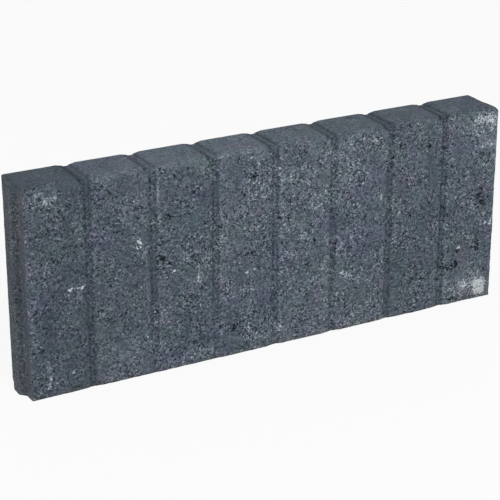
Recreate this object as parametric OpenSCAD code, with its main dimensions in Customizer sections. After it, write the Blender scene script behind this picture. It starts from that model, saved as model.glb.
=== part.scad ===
// Concrete palisade edging: one cast block that stands on its long narrow side and
// looks like a row of upright posts with rounded heads. Shallow flutes part the posts
// on both faces and over the top. A tongue on the left end fits a groove in the right
// end of the next block.
// Origin: centre of the bedding face. +X along the row, -Y to the front, +Z up.

/* [Block] */
// Length that one block covers in a laid row, from joint to joint
length = 500; // [300:1:1000]
// Height from the bedding face to the crowns of the heads
height = 200; // [100:1:400]
// Thickness, measured over both fluted faces
thickness = 50; // [40:1:120]
// Open joint between two laid blocks, which the first post gives up
joint = 3.5; // [1:0.5:6]
// Radius of the four upright corners
corner_radius = 1.5; // [0.5:0.5:4]

/* [Posts] */
// Number of posts in the row
post_count = 8; // [2:1:12]
// Radius that rounds each head down to its flutes and to the right end
head_radius = 8; // [6:0.5:12]
// Radius along the top edges of the front and the back
edge_radius = 6; // [4:0.5:12]

/* [Flutes] */
// Depth of a flute below the face and below the crown
flute_depth = 2; // [1.2:0.1:3]
// Width of a flute over its soft lips
flute_mouth = 19; // [12:0.5:24]
// Width of a flute where its steep walls meet the lips
flute_throat = 6.5; // [6:0.5:10]
// Width of a flute at its flat floor
flute_floor = 4; // [1:0.5:5.5]
// Height of the steep walls above the floor
flute_wall = 0.8; // [0.4:0.1:1]

/* [Tongue and groove] */
// How far the tongue stands out of the left end
tongue_reach = 6; // [3:0.5:9]
// Width of the tongue where it leaves the block
tongue_root = 24; // [20:0.5:30]
// Width of the tongue at its flat tip
tongue_tip = 12.5; // [6:0.5:16]
// Bevel of the two upright edges of the tip
tip_bevel = 1; // [0.5:0.5:2]
// Play between the tongue and the groove of the next block
play = 0.5; // [0.2:0.1:2]

/* [Hidden] */
$fn = 64;
// Distance from one flute to the next
pitch = length / post_count;
// The block is as long as it covers, less the joint and plus the tongue
overall = length - joint + tongue_reach;
// How fast the tongue widens from its tip to its root, on each side
tongue_slope = (tongue_root - tongue_tip) / 2 / tongue_reach;
// The tip of the tongue stays clear of the groove's floor
groove_depth = tongue_reach + play;
// Places along the row, left to right
tip_x = -overall / 2;
shoulder_x = tip_x + tongue_reach;
end_x = overall / 2;
row_x = end_x - length;
// Cutters run this far past the surface that they open
clearance = 1;

// One post seen from the front: straight flanks and a rounded head
module post_outline() {
    shoulder = pitch / 2 - head_radius;
    translate([-pitch / 2, 0])
        square([pitch, height - head_radius]);
    translate([-shoulder, 0])
        square([2 * shoulder, height]);
    for (side = [-1, 1])
        translate([side * shoulder, height - head_radius])
            circle(head_radius);
}

// The whole row seen from the front. A core one flute depth lower than the crowns
// fills the valleys between the heads and carries the tongue.
module row_outline() {
    for (i = [0 : post_count - 1])
        translate([row_x + (i + 0.5) * pitch, 0])
            post_outline();
    translate([tip_x, 0])
        square([end_x - pitch / 2 - tip_x, height - flute_depth]);
}

// The section seen from the end: a flat bed, upright faces and two rounded top edges
module section_outline() {
    edge = thickness / 2 - edge_radius;
    translate([-thickness / 2, 0])
        square([thickness, height - edge_radius]);
    translate([-edge, 0])
        square([2 * edge, height]);
    for (side = [-1, 1])
        translate([side * edge, height - edge_radius])
            circle(edge_radius);
}

// The plan of the body without its tongue: a rectangle with four rounded corners
module body_plan() {
    corner_x = [shoulder_x + corner_radius, end_x - corner_radius];
    corner_y = thickness / 2 - corner_radius;
    translate([shoulder_x, -corner_y])
        square([end_x - shoulder_x, 2 * corner_y]);
    translate([corner_x[0], -thickness / 2])
        square([corner_x[1] - corner_x[0], thickness]);
    for (x = corner_x, side = [-1, 1])
        translate([x, side * corner_y])
            circle(corner_radius);
}

// The plan of the tongue, from its flat tip at x = 0 to just inside the body. Each
// upright edge of the tip is cut back equally along the tip and along the flank.
module tongue_plan() {
    slant = atan(tongue_slope);
    tip_y = tongue_tip / 2 - tip_bevel;
    flank = [tip_bevel * cos(slant), tongue_tip / 2 + tip_bevel * sin(slant)];
    root_x = tongue_reach + clearance;
    root_y = tongue_tip / 2 + tongue_slope * root_x;
    polygon([
        [0, -tip_y],
        [flank.x, -flank.y],
        [root_x, -root_y],
        [root_x, root_y],
        flank,
        [0, tip_y],
    ]);
}

// The plan of the groove that takes the tongue of the next block, from its floor at
// x = 0 outwards. It widens as the tongue does and is wider and deeper by the play.
module groove_plan() {
    floor_y = tongue_tip / 2 + play;
    mouth_x = groove_depth + clearance;
    mouth_y = floor_y + tongue_slope * mouth_x;
    polygon([
        [0, -floor_y],
        [mouth_x, -mouth_y],
        [mouth_x, mouth_y],
        [0, floor_y],
    ]);
}

module plan_outline() {
    difference() {
        union() {
            body_plan();
            translate([tip_x, 0])
                tongue_plan();
        }
        translate([end_x - groove_depth, 0])
            groove_plan();
    }
}

// Section of a flute: x runs across it, and y = 0 is the face that it is sunk into.
// A flat floor lies between two short steep walls, and a gentle lip runs out of each
// wall to the face.
module flute_section() {
    lip_y = flute_wall - flute_depth;
    polygon([
        [-flute_floor / 2, -flute_depth],
        [flute_floor / 2, -flute_depth],
        [flute_throat / 2, lip_y],
        [flute_mouth / 2, 0],
        [flute_mouth / 2, clearance],
        [-flute_mouth / 2, clearance],
        [-flute_mouth / 2, 0],
        [-flute_throat / 2, lip_y],
    ]);
}

// One flute cutter: up the front, round the edge, over the top and down the back
module flute() {
    bend_y = edge_radius - thickness / 2;
    bend_z = height - edge_radius;
    for (turn = [0, 180]) rotate([0, 0, turn]) {
        translate([0, -thickness / 2, -clearance])
            linear_extrude(bend_z + clearance)
                mirror([0, 1])
                    flute_section();
        translate([0, bend_y, bend_z])
            rotate([90, 0, -90])
                rotate_extrude(angle = 90)
                    translate([edge_radius, 0])
                        rotate(-90)
                            flute_section();
        translate([0, 0, height])
            rotate([90, 0, 0])
                linear_extrude(-bend_y)
                    flute_section();
    }
}

module palisade_block() {
    color("#5c6169")
        difference() {
            intersection() {
                linear_extrude(height)
                    plan_outline();
                translate([0, thickness / 2, 0])
                    rotate([90, 0, 0])
                        linear_extrude(thickness)
                            row_outline();
                translate([tip_x, 0, 0])
                    rotate([90, 0, 90])
                        linear_extrude(overall)
                            section_outline();
            }
            for (i = [1 : post_count - 1])
                translate([row_x + i * pitch, 0, 0])
                    flute();
        }
}

palisade_block();
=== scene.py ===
import bpy
import math
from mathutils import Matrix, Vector


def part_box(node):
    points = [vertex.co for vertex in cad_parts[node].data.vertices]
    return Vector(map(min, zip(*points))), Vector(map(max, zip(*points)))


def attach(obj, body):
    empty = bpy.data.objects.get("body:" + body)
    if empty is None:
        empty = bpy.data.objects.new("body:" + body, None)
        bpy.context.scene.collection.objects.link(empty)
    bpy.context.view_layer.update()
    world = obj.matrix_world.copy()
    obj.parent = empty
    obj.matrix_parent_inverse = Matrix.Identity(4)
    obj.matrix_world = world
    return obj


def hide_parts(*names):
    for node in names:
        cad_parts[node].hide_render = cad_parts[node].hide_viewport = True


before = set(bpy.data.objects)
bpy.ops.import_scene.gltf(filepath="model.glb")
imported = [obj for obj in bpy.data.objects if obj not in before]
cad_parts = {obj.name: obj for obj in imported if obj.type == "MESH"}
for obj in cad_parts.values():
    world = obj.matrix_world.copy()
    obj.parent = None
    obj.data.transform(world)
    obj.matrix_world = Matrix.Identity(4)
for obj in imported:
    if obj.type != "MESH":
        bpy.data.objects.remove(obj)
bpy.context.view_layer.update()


# The block: one piece of dry-cast anthracite concrete, a stiff mix of sand and fine grit
# that is pressed and shaken in a steel mould. Its skin is cut into small faces that take
# the wear: open grit, smooth crowns, torn spots, burst holes and two flutes silted up.
END, FACE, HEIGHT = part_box("palisade_block")[1]
POSTS = 8
PITCH = 0.0625
ROW = END - POSTS * PITCH
FLUTE_DEPTH = 0.002
# From the middle of a flute to the end of its soft lip
LIP = 0.0095
# Where the tongue leaves the left end and where the groove's floor lies in the right end,
# each with half its width
SHOULDER, HALF_ROOT = -0.24525, 0.012
GROOVE_FLOOR, HALF_FLOOR = 0.24475, 0.00675
# What counts as the face, measured inwards, with the floors of the flutes taken in
SKIN = 1.1 * FLUTE_DEPTH
# The flutes that have silted up towards the bed, and how high the silt reaches
SILTED_FLUTES = {2: 0.06, 3: 0.065}
# Spots on the front where grit tore out of the wet face: x, z, half width, half height in mm
TORN = (
    (-150, 66, 4, 3), (-116, 110, 7, 7), (-113, 100, 5, 5), (-107, 151, 6, 3), (-81, 173, 5, 4),
    (-44, 28, 9, 7), (-21, 99, 5, 5), (-21, 175, 8, 5), (17, 143, 6, 3), (33, 187, 5, 4), (35, 75, 6, 4),
    (77, 113, 9, 4), (139, 176, 7, 4), (152, 104, 5, 3), (190, 29, 3, 5), (190, 105, 3, 4),
    (195, 42, 8, 4), (197, 97, 4, 4), (205, 41, 7, 5), (208, 56, 4, 3), (232, 60, 4, 6),
    (234, 109, 9, 11),
)
# Single holes on the front and on the back, where a grain or an air bubble broke out,
# given in the same way
HOLES = (
    (-175.5, 74, 1.6, 1.6), (-157, 144, 3, 1.6), (-118, 113, 3, 2), (-113, 110, 3, 3),
    (-108, 105, 3, 2.4), (-63, 53.5, 1.6, 1.6), (-56, 130, 2.6, 1.4), (-50, 140.4, 1.6, 1.5),
    (-43, 25.5, 4.4, 2.4), (-42.4, 29, 2.4, 2.4), (-31, 156.4, 1.6, 1.8), (-30.5, 98, 3, 2.4),
    (-22, 98.7, 2.4, 2), (-20.5, 173, 4, 2), (-8.7, 120.5, 1.6, 1.6), (9.2, 102.6, 2, 2),
    (24.6, 144.5, 1.8, 1.5), (36.7, 40, 1.4, 1.4), (38, 46.7, 3.6, 1.2), (40, 115.4, 2.4, 1.2),
    (43.8, 98.5, 1.8, 3), (63, 149, 1.8, 1.8), (66, 163, 2.4, 2), (97.8, 169.7, 1.5, 1.5),
    (128.5, 157, 1.6, 5), (130, 166.7, 1.6, 1.8), (137.2, 179, 1.5, 1.5), (156.5, 78, 2, 2),
    (170.7, 173.5, 2.4, 4.4), (190, 104.5, 1.8, 1.8), (190.5, 28, 1.8, 3), (191, 41, 3.2, 3),
    (197.8, 146.6, 1.6, 1.5), (201, 39, 4.4, 2.6), (203, 6, 5, 2), (203.5, 50.5, 1.6, 2),
    (208, 42.5, 2.6, 3.6), (209, 56, 3.6, 2), (218.5, 102.5, 2.4, 1.8), (226, 57, 2, 1.4),
    (232.5, 61, 2, 4), (233, 54, 3.4, 2), (233, 110.5, 3.6, 2.4), (235, 117, 3, 2.6),
    (236.5, 102, 2.6, 3.6), (243, 107.5, 1.8, 3),
)
BACK_HOLES = (
    (-214, 62, 2.4, 1.8), (-171, 148, 3, 2), (-165, 143, 1.8, 2.4), (-122, 31, 2, 2),
    (-96, 118, 3.4, 2.2), (-61, 171, 1.8, 1.6), (-28, 74, 2.6, 3), (-24, 69, 2, 1.6),
    (19, 132, 1.6, 1.6), (47, 22, 3, 2), (88, 158, 2.4, 1.8), (112, 91, 4, 2.4),
    (118, 86, 2, 2.6), (151, 45, 1.8, 1.8), (196, 121, 2.6, 2), (229, 168, 2, 1.8),
)

bpy.ops.object.select_all(action="DESELECT")
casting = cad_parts["palisade_block"]
casting.select_set(True)
bpy.context.view_layer.objects.active = casting
bpy.ops.object.duplicate()
block = bpy.context.object
block.name = block.data.name = "weathered_block"
block.data.materials.clear()
bpy.ops.object.mode_set(mode="EDIT")
bpy.ops.mesh.select_all(action="SELECT")
bpy.ops.mesh.remove_doubles(threshold=0.00002)
bpy.ops.mesh.normals_make_consistent(inside=False)
bpy.ops.mesh.dissolve_limited(angle_limit=math.radians(0.2))

# The skin is cut into cells about 2 mm wide, with closer cuts along the walls and lips of
# the flutes, so that the relief has points to move. The rounded top edges have small faces
# already, so the level cuts end below them.
CELL = 0.002
FLUTE_CUTS = (-7.6, -6.2, -5, -4, -2.6, -1, 0, 1, 2.6, 4, 5, 6.2, 7.6)
POST_CELLS = 20
post_cell = (PITCH - 2 * LIP) / POST_CELLS
cuts = []
for i in range(POSTS):
    for offset in FLUTE_CUTS:
        cuts.append(((ROW + i * PITCH + offset / 1000, 0, 0), (1, 0, 0)))
    for step in range(POST_CELLS + 1):
        cuts.append(((ROW + i * PITCH + LIP + step * post_cell, 0, 0), (1, 0, 0)))
for step in range(1, 98):
    cuts.append(((0, 0, step * CELL), (0, 0, 1)))
for step in range(-11, 12):
    cuts.append(((0, step * CELL, 0), (0, 1, 0)))
for point, direction in cuts:
    bpy.ops.mesh.select_all(action="SELECT")
    bpy.ops.mesh.bisect(plane_co=point, plane_no=direction, threshold=0.00004)
bpy.ops.mesh.select_all(action="SELECT")
bpy.ops.mesh.dissolve_degenerate(threshold=0.0001)
bpy.ops.object.mode_set(mode="OBJECT")


# How far a point lies from the middle of the nearest spot, with 1 on the spot's rim
def from_spot(spots, x, z):
    return min(math.hypot((1000 * x - spot[0]) / spot[2], (1000 * z - spot[1]) / spot[3]) for spot in spots)


# Where each kind of wear lies, from 0 to 1: the open faces, the silt, the torn spots, the
# holes and the arrises. Two more are kept for the colour alone: the upright edges that
# handling rubs, and the nooks beside the tongue and in the groove: painted shade and dirt.
ARRIS_WIDTH, RUBBED_WIDTH, NOOK_WIDTH = 0.006, 0.005, 0.006
open_face = block.vertex_groups.new(name="open_face")
silt = block.vertex_groups.new(name="silt")
torn = block.vertex_groups.new(name="torn")
hole = block.vertex_groups.new(name="hole")
arris = block.vertex_groups.new(name="arris")
rubbed, nook = [], []
for vertex in block.data.vertices:
    x, y, z = vertex.co
    depth = FACE - abs(y)
    from_end = END - abs(x)
    crown = min(max((vertex.normal.z - 0.55) / 0.25, 0), 1) if z > HEIGHT / 2 else 0
    open_face.add([vertex.index], 1 - 0.8 * crown, "REPLACE")
    if y < 0 and depth < SKIN:
        for flute, reach in SILTED_FLUTES.items():
            if abs(x - ROW - flute * PITCH) < LIP:
                fill = min(max(1.4 - 1.4 * z / reach, 0), 1) * min(depth / FLUTE_DEPTH, 1)
                silt.add([vertex.index], fill, "REPLACE")
        nearest = from_spot(TORN, x, z)
        if nearest < 1:
            torn.add([vertex.index], min(2 - 2 * nearest, 1), "REPLACE")
    if depth < SKIN:
        nearest = from_spot(HOLES if y < 0 else BACK_HOLES, x, z)
        if nearest < 1:
            hole.add([vertex.index], min(1.6 - 1.6 * nearest, 1), "REPLACE")
    # The bed's arris stays sharper than the others, so the height over it counts for more
    over_bed = 1.6 * z
    edge = min(math.hypot(depth, over_bed), math.hypot(from_end, over_bed), math.hypot(depth, from_end))
    if edge < ARRIS_WIDTH:
        arris.add([vertex.index], 1 - edge / ARRIS_WIDTH, "REPLACE")
    upright = min(math.hypot(depth, x - SHOULDER), math.hypot(depth, x - END))
    rubbed.append(max(1 - upright / RUBBED_WIDTH, 0))
    # The nook mask holds painted shade, with some dirt, for the inner corners beside the tongue and in the
    # groove
    beside_tongue = math.hypot(abs(y) - HALF_ROOT, x - SHOULDER)
    in_groove = math.hypot(abs(y) - HALF_FLOOR, x - GROOVE_FLOOR)
    nook.append(max(1 - min(beside_tongue, in_groove) / NOOK_WIDTH, 0))
for name, values in (("rubbed", rubbed), ("nook", nook)):
    block.data.attributes.new(name, "FLOAT", "POINT").data.foreach_set("value", values)

# Silt fills its flutes to three quarters of their depth, and then the holes are sunk 1 mm.
# Each layer of wear only takes material away: mid level 1 keeps the skin in the mould.
silted = block.modifiers.new("silted_flutes", "DISPLACE")
silted.direction = "Y"
silted.mid_level = 0
silted.strength = -0.75 * FLUTE_DEPTH
silted.vertex_group = "silt"
bpy.ops.object.modifier_apply(modifier=silted.name)
burst = block.modifiers.new("burst_holes", "DISPLACE")
burst.mid_level = 0
burst.strength = -0.001
burst.vertex_group = "hole"
bpy.ops.object.modifier_apply(modifier=burst.name)
warp = bpy.data.textures.new("mould_wear", "CLOUDS")
warp.noise_scale = 0.045
grit = bpy.data.textures.new("open_grit", "CLOUDS")
grit.noise_scale = 0.0042
grit.noise_depth = 1
tear = bpy.data.textures.new("torn_grit", "CLOUDS")
tear.noise_scale = 0.0036
tear.noise_depth = 0
tear.contrast = 3
tear.use_clamp = True
chips = bpy.data.textures.new("chipped_arris", "CLOUDS")
chips.noise_scale = 0.009
faces = [abs(vertex.co.y) for vertex in block.data.vertices]
for name, texture, strength, group in (
    ("torn_grit", tear, 0.0014, "torn"),
    ("mould_wear", warp, 0.0004, ""),
    ("open_grit", grit, 0.0004, "open_face"),
    ("chipped_arris", chips, 0.0008, "arris"),
):
    layer = block.modifiers.new(name, "DISPLACE")
    layer.texture = texture
    layer.texture_coords = "LOCAL"
    layer.mid_level = 1
    layer.strength = strength
    layer.vertex_group = group
    bpy.ops.object.modifier_apply(modifier=layer.name)
    # How deep the torn grit went at each point is kept for the colour, as painted shade in the pits
    if name == "torn_grit":
        pits = [(face - abs(vertex.co.y)) / strength for face, vertex in zip(faces, block.data.vertices)]
        block.data.attributes.new("pits", "FLOAT", "POINT").data.foreach_set("value", pits)
bpy.ops.object.shade_smooth_by_angle(angle=math.radians(55))

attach(block, "root")
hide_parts("palisade_block")

# Dry-cast concrete coloured through with anthracite: a matt, mineral surface with grains
# and pores 1 to 3 mm across, cloudy drifts of pigment and patches of white lime bloom.
concrete = bpy.data.materials.new("dry_cast_anthracite_concrete")
concrete.use_nodes = True
nodes = concrete.node_tree.nodes
links = concrete.node_tree.links
shader = nodes["Principled BSDF"]


# An sRGB hex colour in linear light
def linear(hex_colour):
    parts = [int(hex_colour[i:i + 2], 16) / 255 for i in (1, 3, 5)]
    return [*(c / 12.92 if c <= 0.04045 else ((c + 0.055) / 1.055) ** 2.4 for c in parts), 1]


# A node with its settings and with its inputs, which are values or other nodes' outputs.
# A ramp's stops are given as places with a hex colour or a plain level.
def add(kind, settings, inputs, output=0):
    node = nodes.new(kind)
    for name, value in settings.items():
        if name == "stops":
            while len(node.color_ramp.elements) < len(value):
                node.color_ramp.elements.new(1)
            for stop, (position, colour) in zip(node.color_ramp.elements, value):
                stop.position = position
                stop.color = linear(colour) if isinstance(colour, str) else (colour, colour, colour, 1)
        else:
            setattr(node, name, value)
    for name, value in inputs.items():
        if isinstance(value, bpy.types.NodeSocket):
            links.new(value, node.inputs[name])
        else:
            node.inputs[name].default_value = value
    return node.outputs[output]


place = add("ShaderNodeTexCoord", {}, {}, "Object")
at_x = add("ShaderNodeSeparateXYZ", {}, {0: place}, "X")
at_y, at_z = at_x.node.outputs["Y"], at_x.node.outputs["Z"]
normal = add("ShaderNodeNewGeometry", {}, {}, "Normal")
facing = add("ShaderNodeSeparateXYZ", {}, {0: normal}, "X")
facing = add("ShaderNodeMath", {"operation": "ABSOLUTE"}, {0: facing})

# Noises, each with its grain in metres: drifts of pigment, the tint's lean, patches of the
# skin, places where the grain is livelier, clouds and grit
drift, lean, patch, lively, cloud, grit = [
    add("ShaderNodeTexNoise", {}, {
        "Vector": place, "Scale": 1 / size, "Detail": detail, "Roughness": roughness}, "Fac")
    for size, detail, roughness in (
        (0.07, 2, 0.5), (0.026, 2, 0.55), (0.022, 3, 0.6),
        (0.017, 1, 0.5), (0.014, 3, 0.6), (0.0036, 2, 0.6))]
# Cells of sand and pores. Most real sand is under 1 mm across, too fine to show, so it is
# drawn coarser, at 1.35 mm
sand = add("ShaderNodeTexVoronoi", {}, {"Vector": place, "Scale": 1 / 0.00135}, "Color")
sand = add("ShaderNodeSeparateXYZ", {}, {0: sand}, "X")
pore = add("ShaderNodeTexVoronoi", {}, {"Vector": place, "Scale": 1 / 0.0026}, "Distance")
grain = add("ShaderNodeSeparateXYZ", {}, {0: pore.node.outputs["Color"]}, "X")

# Painted shade, with some damp and fines, darkens the walls of a flute, and its right lip is
# paler, partly rubbed and partly a painted highlight. On the top the painted shade runs in two
# lines beside a clean floor. The stops go across 24 mm, with the flute's middle at 0.5, and
# 0.5 is also the level of plain concrete.
SPAN = 0.012
from_row = add("ShaderNodeMath", {"operation": "SUBTRACT"}, {0: at_x, 1: ROW})
across = add("ShaderNodeMath", {"operation": "WRAP"}, {0: from_row, 1: PITCH / 2, 2: -PITCH / 2})
across = add("ShaderNodeMapRange", {}, {"Value": across, "From Min": -SPAN, "From Max": SPAN})
flute_face_shade = add("ShaderNodeValToRGB", {"stops": (
    (0.0, 0.505), (0.1, 0.515), (0.27, 0.52), (0.312, 0.507), (0.363, 0.498), (0.408, 0.425),
    (0.458, 0.405), (0.5, 0.452), (0.542, 0.472), (0.583, 0.445), (0.625, 0.434), (0.654, 0.443),
    (0.69, 0.495), (0.729, 0.528), (0.767, 0.544), (0.804, 0.533), (0.842, 0.515), (1.0, 0.505))},
    {"Fac": across}, "Color")
flute_top_shade = add("ShaderNodeValToRGB", {"stops": (
    (0.0, 0.52), (0.11, 0.5), (0.18, 0.43), (0.25, 0.31), (0.32, 0.33), (0.38, 0.39), (0.44, 0.45),
    (0.54, 0.49), (0.59, 0.45), (0.63, 0.425), (0.7, 0.468), (0.76, 0.52), (0.84, 0.53), (1.0, 0.52))},
    {"Fac": across}, "Color")
on_top = add("ShaderNodeMapRange", {}, {
    "Value": at_z, "From Min": HEIGHT - 0.006, "From Max": HEIGHT - 0.0025})
flute = add("ShaderNodeMix", {}, {0: on_top, 2: flute_face_shade, 3: flute_top_shade})
flute = add("ShaderNodeMath", {"operation": "SUBTRACT"}, {0: flute, 1: 0.5})
# Some flutes are darker than others, the row's two ends have none, and two fade out
# towards the bed, where they have silted up
along = add("ShaderNodeMapRange", {}, {"Value": at_x, "From Min": ROW, "From Max": END})
flute_shade_share = add("ShaderNodeValToRGB", {"stops": (
    (0.0, 0.5), (0.19, 0.5), (0.44, 0.6), (0.56, 0.55), (0.81, 0.65))}, {"Fac": along}, "Color")
flute_shade_share.node.color_ramp.interpolation = "CONSTANT"
flute_shade_share = add("ShaderNodeMath", {"operation": "MULTIPLY"}, {0: flute_shade_share, 1: 2.0})
inner = add("ShaderNodeMath", {"operation": "ABSOLUTE"}, {0: at_x})
inner = add("ShaderNodeMath", {"operation": "LESS_THAN"}, {0: inner, 1: END - PITCH / 2})
silted = add("ShaderNodeMath", {"operation": "COMPARE"}, {0: at_x, 1: ROW + 2.5 * PITCH, 2: PITCH})
front = add("ShaderNodeMath", {"operation": "LESS_THAN"}, {0: at_y, 1: 0.0})
silted = add("ShaderNodeMath", {"operation": "MULTIPLY"}, {0: silted, 1: front})
silted = add("ShaderNodeMapRange", {}, {"Value": silted, "To Min": 1.0, "To Max": 0.3})
silted = add("ShaderNodeMapRange", {}, {"Value": at_z, "From Min": 0.012, "From Max": 0.06, "To Min": silted})
for share in (flute_shade_share, inner, silted):
    flute = add("ShaderNodeMath", {"operation": "MULTIPLY"}, {0: flute, 1: share})

# Bloom and scuffs on the front and the back: x, z, half width, half height in mm, strength
BLOOM = (
    (-240, 105, 16, 110, 0.06), (-229, 15, 3, 8, 0.5), (-228, 30, 3, 12, 0.15),
    (-226, 15, 20, 22, 0.05), (-226, 189, 17, 10, 0.17), (-219, 186, 10, 6, 0.12),
    (-205, 20, 2, 2, 0.5), (-204.5, 99.3, 4.5, 2.2, 0.9), (-197, 92, 4, 9, 0.2),
    (-194.5, 99.8, 5, 2.2, 0.8), (-145, 25, 46, 34, 0.08), (-138.6, 127.5, 1.8, 2.6, 1.2),
    (-136.3, 131.5, 1.9, 3.2, 1.3), (-118, 171, 1.8, 11, 0.3), (-104, 97.6, 2, 2, 0.6),
    (-88, 8, 30, 14, 0.1), (-79, 84, 3, 6, 0.35), (-79, 92, 2, 12, 0.35), (-30, 80.5, 2, 2, 1.0),
    (-20, 84, 2, 2, 0.5), (-8, 132, 2, 2, 0.5), (7, 176, 2, 2, 0.5), (55, 145, 2.2, 3.5, 0.5),
    (75.5, 60, 4.5, 4, 0.45), (79, 166, 2.5, 16, 0.16), (82, 188, 4.5, 9, 0.35),
    (96, 146.5, 2.6, 1.4, 0.6), (117, 129, 2.5, 3, 0.35), (200, 154, 2, 2, 0.4),
    (205, 15, 30, 16, 0.1), (209.5, 178.5, 2.6, 2, 0.45), (210, 59.3, 3, 2.6, 0.7),
    (219, 17, 9, 6, 0.25), (222, 20, 26, 14, 0.15), (226, 178, 26, 24, 0.12),
    (232, 190, 18, 8, 0.22), (234, 162, 2, 2.2, 0.6), (235, 80.5, 2.2, 2.2, 1.1),
    (236.5, 14, 11, 11, 0.95), (238, 8, 8, 7, 0.4), (240, 165, 13, 12, 0.2), (241, 80, 3, 1.8, 1.0),
    (243, 186, 10, 13, 0.42), (244.3, 161, 2.2, 2.2, 0.6), (246.5, 80, 2.2, 2.2, 1.1),
)
BACK_BLOOM = (
    (-236, 176, 14, 18, 0.35), (-228, 190, 20, 9, 0.2), (-150, 96, 3, 2, 0.8), (-109, 12, 30, 14, 0.14),
    (-70, 139, 2, 3, 0.7), (8, 187, 16, 9, 0.18), (63, 64, 4, 3, 0.5), (71, 58, 2, 4, 0.4),
    (133, 122, 2, 9, 0.3), (176, 16, 24, 16, 0.22), (205, 152, 3, 2, 0.6), (239, 24, 10, 16, 0.3),
)
# Each mark is a soft spot whose outline strays by a millimetre or so. It reaches 6 mm in
# from the face, and torn spots and holes fade out a quarter past the rim of their relief.
MARK_DEPTH = 0.006
stray = add("ShaderNodeTexNoise", {}, {"Vector": place, "Scale": 1 / 0.0045, "Detail": 2}, "Color")
stray = add("ShaderNodeVectorMath", {"operation": "SUBTRACT"}, {0: stray, 1: (0.5, 0.5, 0.5)})
stray = add("ShaderNodeVectorMath", {"operation": "MULTIPLY_ADD"}, {
    0: stray, 1: (0.008, 0.0, 0.008), 2: place})
bloom, torn_spots, hole_spots = 0.0, 0.0, 0.0
for marks, side, reach in (
    (BLOOM, -1, 1.0), (BACK_BLOOM, 1, 1.0), (TORN, -1, 1.25), (HOLES, -1, 1.25), (BACK_HOLES, 1, 1.25)):
    for mark in marks:
        near = add("ShaderNodeMapping", {"vector_type": "TEXTURE"}, {
            "Vector": stray, "Location": (mark[0] / 1000, side * FACE, mark[1] / 1000),
            "Scale": (reach * mark[2] / 1000, MARK_DEPTH, reach * mark[3] / 1000)})
        spot = add("ShaderNodeTexGradient", {"gradient_type": "SPHERICAL"}, {"Vector": near}, "Fac")
        if marks in (BLOOM, BACK_BLOOM):
            bloom = add("ShaderNodeMath", {"operation": "MULTIPLY_ADD"}, {0: spot, 1: mark[4], 2: bloom})
        elif marks == TORN:
            torn_spots = add("ShaderNodeMath", {"operation": "MAXIMUM"}, {0: spot, 1: torn_spots})
        else:
            hole_spots = add("ShaderNodeMath", {"operation": "MAXIMUM"}, {0: spot, 1: hole_spots})

# How open the grain is. The crowns were pressed smooth and meet the open faces along a
# ragged line, the ends are a little calmer, and some places are livelier than others.
ragged = add("ShaderNodeMath", {"operation": "MULTIPLY_ADD"}, {0: patch, 1: 0.03, 2: at_z})
crown = add("ShaderNodeMapRange", {}, {
    "Value": ragged, "From Min": HEIGHT + 0.008, "From Max": HEIGHT + 0.014})
openness = add("ShaderNodeMapRange", {}, {"Value": crown, "To Min": 1.0, "To Max": 0.5})
lively = add("ShaderNodeMapRange", {}, {
    "Value": lively, "From Min": 0.3, "From Max": 0.7, "To Min": 0.6, "To Max": 1.5})
end_face = add("ShaderNodeMapRange", {}, {"Value": facing, "From Min": 0.45, "From Max": 0.7})
calm = add("ShaderNodeMapRange", {}, {"Value": end_face, "To Min": 1.0, "To Max": 0.85})
# Each post took its own batch of mix, so it is a shade paler or darker than the next, on
# its face and on its top, and coarser or finer in its grain
post_face, post_top, post_grain = [
    add("ShaderNodeValToRGB", {
        "stops": [(i / POSTS, 0.5 + shade) for i, shade in enumerate(shades)]}, {"Fac": along}, "Color")
    for shades in (
        (-0.047, -0.021, -0.007, 0.018, 0.035, 0.02, -0.004, 0.01),
        (-0.035, 0.045, 0.065, 0.07, 0.035, 0.01, -0.01, -0.005),
        (-0.12, -0.12, 0.02, 0.1, -0.01, 0.1, 0.0, 0.03))]
for ramp in (post_face, post_top, post_grain):
    ramp.node.color_ramp.interpolation = "CONSTANT"
post = add("ShaderNodeMix", {}, {0: on_top, 2: post_face, 3: post_top})
post_grain = add("ShaderNodeMapRange", {}, {"Value": post_grain, "To Min": 0.5, "To Max": 1.5})
for share in (lively, calm, post_grain):
    openness = add("ShaderNodeMath", {"operation": "MULTIPLY"}, {0: openness, 1: share})

# The grain itself: sand from dark to pale, grit, and a dot in each pore cell, which is a
# black pore, a grey grain or a white one. A torn spot turns its dots into pores.
sand = add("ShaderNodeValToRGB", {"stops": (
    (0.0, 0.05), (0.09, 0.29), (0.3, 0.42), (0.7, 0.57), (0.91, 0.66), (1.0, 0.8))}, {"Fac": sand}, "Color")
dot = add("ShaderNodeMapRange", {}, {"Value": pore, "From Min": 0.46, "From Max": 0.2})
grain = add("ShaderNodeMath", {"operation": "MULTIPLY_ADD"}, {0: torn_spots, 1: -1.0, 2: grain})
grain = add("ShaderNodeValToRGB", {"stops": (
    (0.0, 0.05), (0.05, 0.1), (0.06, 0.36), (0.25, 0.44), (0.28, 0.5), (0.94, 0.5), (0.95, 0.54),
    (1.0, 0.66))}, {"Fac": grain}, "Color")
grain = add("ShaderNodeMath", {"operation": "SUBTRACT"}, {0: grain, 1: 0.5})
dot = add("ShaderNodeMath", {"operation": "MULTIPLY"}, {0: dot, 1: grain})
speck = add("ShaderNodeMath", {"operation": "MULTIPLY_ADD"}, {0: sand, 1: 0.79, 2: -0.487})
speck = add("ShaderNodeMath", {"operation": "MULTIPLY_ADD"}, {0: grit, 1: 0.22, 2: speck})
speck = add("ShaderNodeMath", {"operation": "ADD"}, {0: speck, 1: dot})
fine = add("ShaderNodeMath", {"operation": "MULTIPLY"}, {0: speck, 1: openness})
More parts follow.
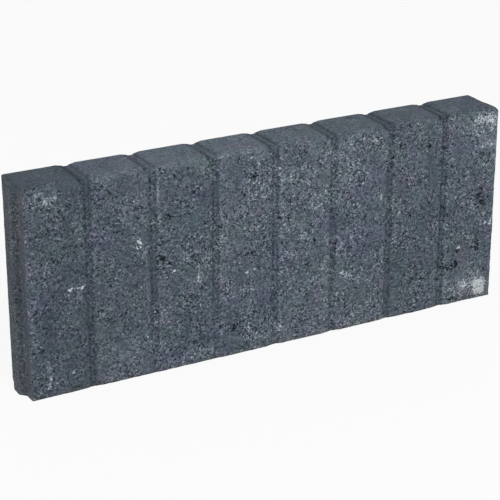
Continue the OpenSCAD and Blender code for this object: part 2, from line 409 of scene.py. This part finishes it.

# What lies over the grain. Holes get painted shade, darkest where the grain is dark, bloom is
# thinnest where the grain is dark, and a torn pit gets painted shade in the middle of its cells.
# The foot is paler towards the bed, the upright edges are paler by handling, painted light makes
# the flat parts of the ends paler than their flanks, and the nooks get painted shade and dirt.
rubbed_edge = add("ShaderNodeAttribute", {"attribute_name": "rubbed"}, {}, "Fac")
# Painted shade, with some dirt, in the nooks
corner_shade = add("ShaderNodeAttribute", {"attribute_name": "nook"}, {}, "Fac")
# Painted shade in the torn pits: darker where the grit tore deeper, in the middle of pore cells
pit = add("ShaderNodeAttribute", {"attribute_name": "pits"}, {}, "Fac")
pit = add("ShaderNodeMapRange", {}, {"Value": pit, "From Min": 0.2, "From Max": 0.6})
broken = add("ShaderNodeMapRange", {}, {"Value": pore, "From Min": 0.5, "From Max": 0.25})
pit = add("ShaderNodeMath", {"operation": "MULTIPLY"}, {0: pit, 1: broken})
# Painted shade in the holes, darkest where the grain is dark
hole_shade = add("ShaderNodeMapRange", {}, {"Value": hole_spots, "From Min": 0.2, "From Max": 0.45})
dark = add("ShaderNodeMath", {"operation": "MULTIPLY_ADD"}, {0: speck, 1: 1.3, 2: -0.34})
foot = add("ShaderNodeMapRange", {}, {"Value": at_z, "From Min": 0.009, "From Max": 0.002})
# Painted light: the flat parts of the ends are made paler than the flanks
end_light = add("ShaderNodeMapRange", {}, {"Value": facing, "From Min": 0.66, "From Max": 0.92})
patchy = add("ShaderNodeMath", {"operation": "MULTIPLY_ADD"}, {0: speck, 1: 1.6, 2: 0.8})

# All of it adds up to one tone, from black pore, 0, over plain concrete, 0.5, to white
# bloom, 1. Each layer stands with its share, which for holes and bloom follows the grain.
tone = -0.134
for layer, share in (
    (drift, 0.1), (cloud, 0.145), (post, 1.0), (flute, 1.0), (fine, 1.0), (pit, -0.5), (hole_shade, dark),
    (foot, 0.035), (rubbed_edge, 0.06), (corner_shade, -0.018), (end_light, 0.11), (bloom, patchy)):
    tone = add("ShaderNodeMath", {"operation": "MULTIPLY_ADD"}, {0: layer, 1: share, 2: tone})
colour = add("ShaderNodeValToRGB", {"stops": (
    (0.0, "#06080c"), (0.25, "#252c36"), (0.5, "#525b66"), (0.72, "#808895"), (1.0, "#cdd2d8"))},
    {"Fac": tone}, "Color")

# The pigment leans to green in some places and to purple in others, but not under bloom.
# Its drifts run from cool to warm, and the ends and the foot are a shade browner.
lean = add("ShaderNodeMapRange", {}, {"Value": lean, "From Min": 0.36, "From Max": 0.64})
lean = add("ShaderNodeMix", {"data_type": "RGBA"}, {0: lean, 6: linear("#f5fff8"), 7: linear("#fff8ff")}, 2)
warm = add("ShaderNodeMapRange", {}, {"Value": drift, "From Min": 0.35, "From Max": 0.65})
warm = add("ShaderNodeMix", {"data_type": "RGBA"}, {0: warm, 6: linear("#fafcff"), 7: linear("#fffffc")}, 2)
clean = add("ShaderNodeMapRange", {}, {"Value": bloom, "From Max": 0.35, "To Min": 1.0, "To Max": 0.15})
soiled = add("ShaderNodeMath", {"operation": "MAXIMUM"}, {0: end_face, 1: foot})
for share, tint in ((clean, lean), (1.0, warm), (soiled, linear("#fbf5f0"))):
    colour = add("ShaderNodeMix", {"data_type": "RGBA", "blend_type": "MULTIPLY"}, {
        0: share, 6: colour, 7: tint}, 2)
links.new(colour, shader.inputs["Base Color"])
shader.inputs["Roughness"].default_value = 0.92
shader.inputs["Specular IOR Level"].default_value = 0.3
hollow = add("ShaderNodeMath", {"operation": "ADD"}, {0: grit, 1: dot})
hollow = add("ShaderNodeMath", {"operation": "MULTIPLY"}, {0: hollow, 1: openness})
bump = add("ShaderNodeBump", {}, {"Height": hollow, "Distance": 0.0005, "Strength": 0.8}, "Normal")
links.new(bump, shader.inputs["Normal"])
block.data.materials.append(concrete)


# The floor: a seamless sheet of matt white paper that the block stands on. To the camera
# most of its light is its own even glow, so it stays near white with only a soft shadow.
bpy.ops.object.select_all(action="DESELECT")
bpy.ops.mesh.primitive_plane_add(size=12, location=(0, 0, 0))
floor = bpy.context.object
floor.name = "studio_floor"
paper = bpy.data.materials.new("matt_white_paper")
paper.use_nodes = True
nodes = paper.node_tree.nodes
links = paper.node_tree.links
nodes.remove(nodes["Principled BSDF"])
sheet = add("ShaderNodeBsdfDiffuse", {}, {"Color": linear("#f2f2f2")})
glow = add("ShaderNodeEmission", {}, {"Color": linear("#ffffff"), "Strength": 1.0})
lit_sheet = add("ShaderNodeMixShader", {}, {0: 0.91, 1: sheet, 2: glow})
seen = add("ShaderNodeLightPath", {}, {}, "Is Camera Ray")
for ray in ("Is Glossy Ray", "Is Transmission Ray"):
    also = add("ShaderNodeLightPath", {}, {}, ray)
    seen = add("ShaderNodeMath", {"operation": "MAXIMUM"}, {0: seen, 1: also})
surface = add("ShaderNodeMixShader", {}, {0: seen, 1: sheet, 2: lit_sheet})
links.new(surface, nodes["Material Output"].inputs["Surface"])
floor.data.materials.append(paper)


# The light: a white room, and one large soft box above, in front and to the left. The
# room lights the block at 0.37 of the brightness that the camera sees.
room = bpy.data.worlds.new("white_room")
bpy.context.scene.world = room
room.use_nodes = True
nodes = room.node_tree.nodes
links = room.node_tree.links
seen = add("ShaderNodeLightPath", {}, {}, "Is Camera Ray")
for ray in ("Is Glossy Ray", "Is Transmission Ray"):
    also = add("ShaderNodeLightPath", {}, {}, ray)
    seen = add("ShaderNodeMath", {"operation": "MAXIMUM"}, {0: seen, 1: also})
level = add("ShaderNodeMapRange", {}, {"Value": seen, "To Min": 0.37, "To Max": 1.0})
links.new(level, nodes["Background"].inputs["Strength"])
nodes["Background"].inputs["Color"].default_value = linear("#ffffff")
bpy.ops.object.light_add(type="AREA", location=(-0.3, -1.9, 1.9))
soft_box = bpy.context.object
soft_box.name = "soft_box"
soft_box.data.shape = "RECTANGLE"
soft_box.data.size = 1.2
soft_box.data.size_y = 0.9
soft_box.data.energy = 35
middle = Vector((0, 0, HEIGHT / 2))
soft_box.rotation_euler = (middle - soft_box.location).to_track_quat("-Z", "Y").to_euler()


# The camera: a long lens, to the left of the block and above it, that looks down on it
# and to the right, with the block reaching almost from side to side.
LOOK_DOWN, LOOK_RIGHT = 21.89, 28.84
bpy.ops.object.camera_add(location=(-0.7412, -1.3242, 0.6986))
camera = bpy.context.object
camera.name = "camera"
camera.rotation_euler = (math.radians(90 - LOOK_DOWN), 0, math.radians(-LOOK_RIGHT))
camera.data.lens = 125.1
camera.data.sensor_width = 36
bpy.context.scene.camera = camera
bpy.context.scene.view_settings.view_transform = "Standard"
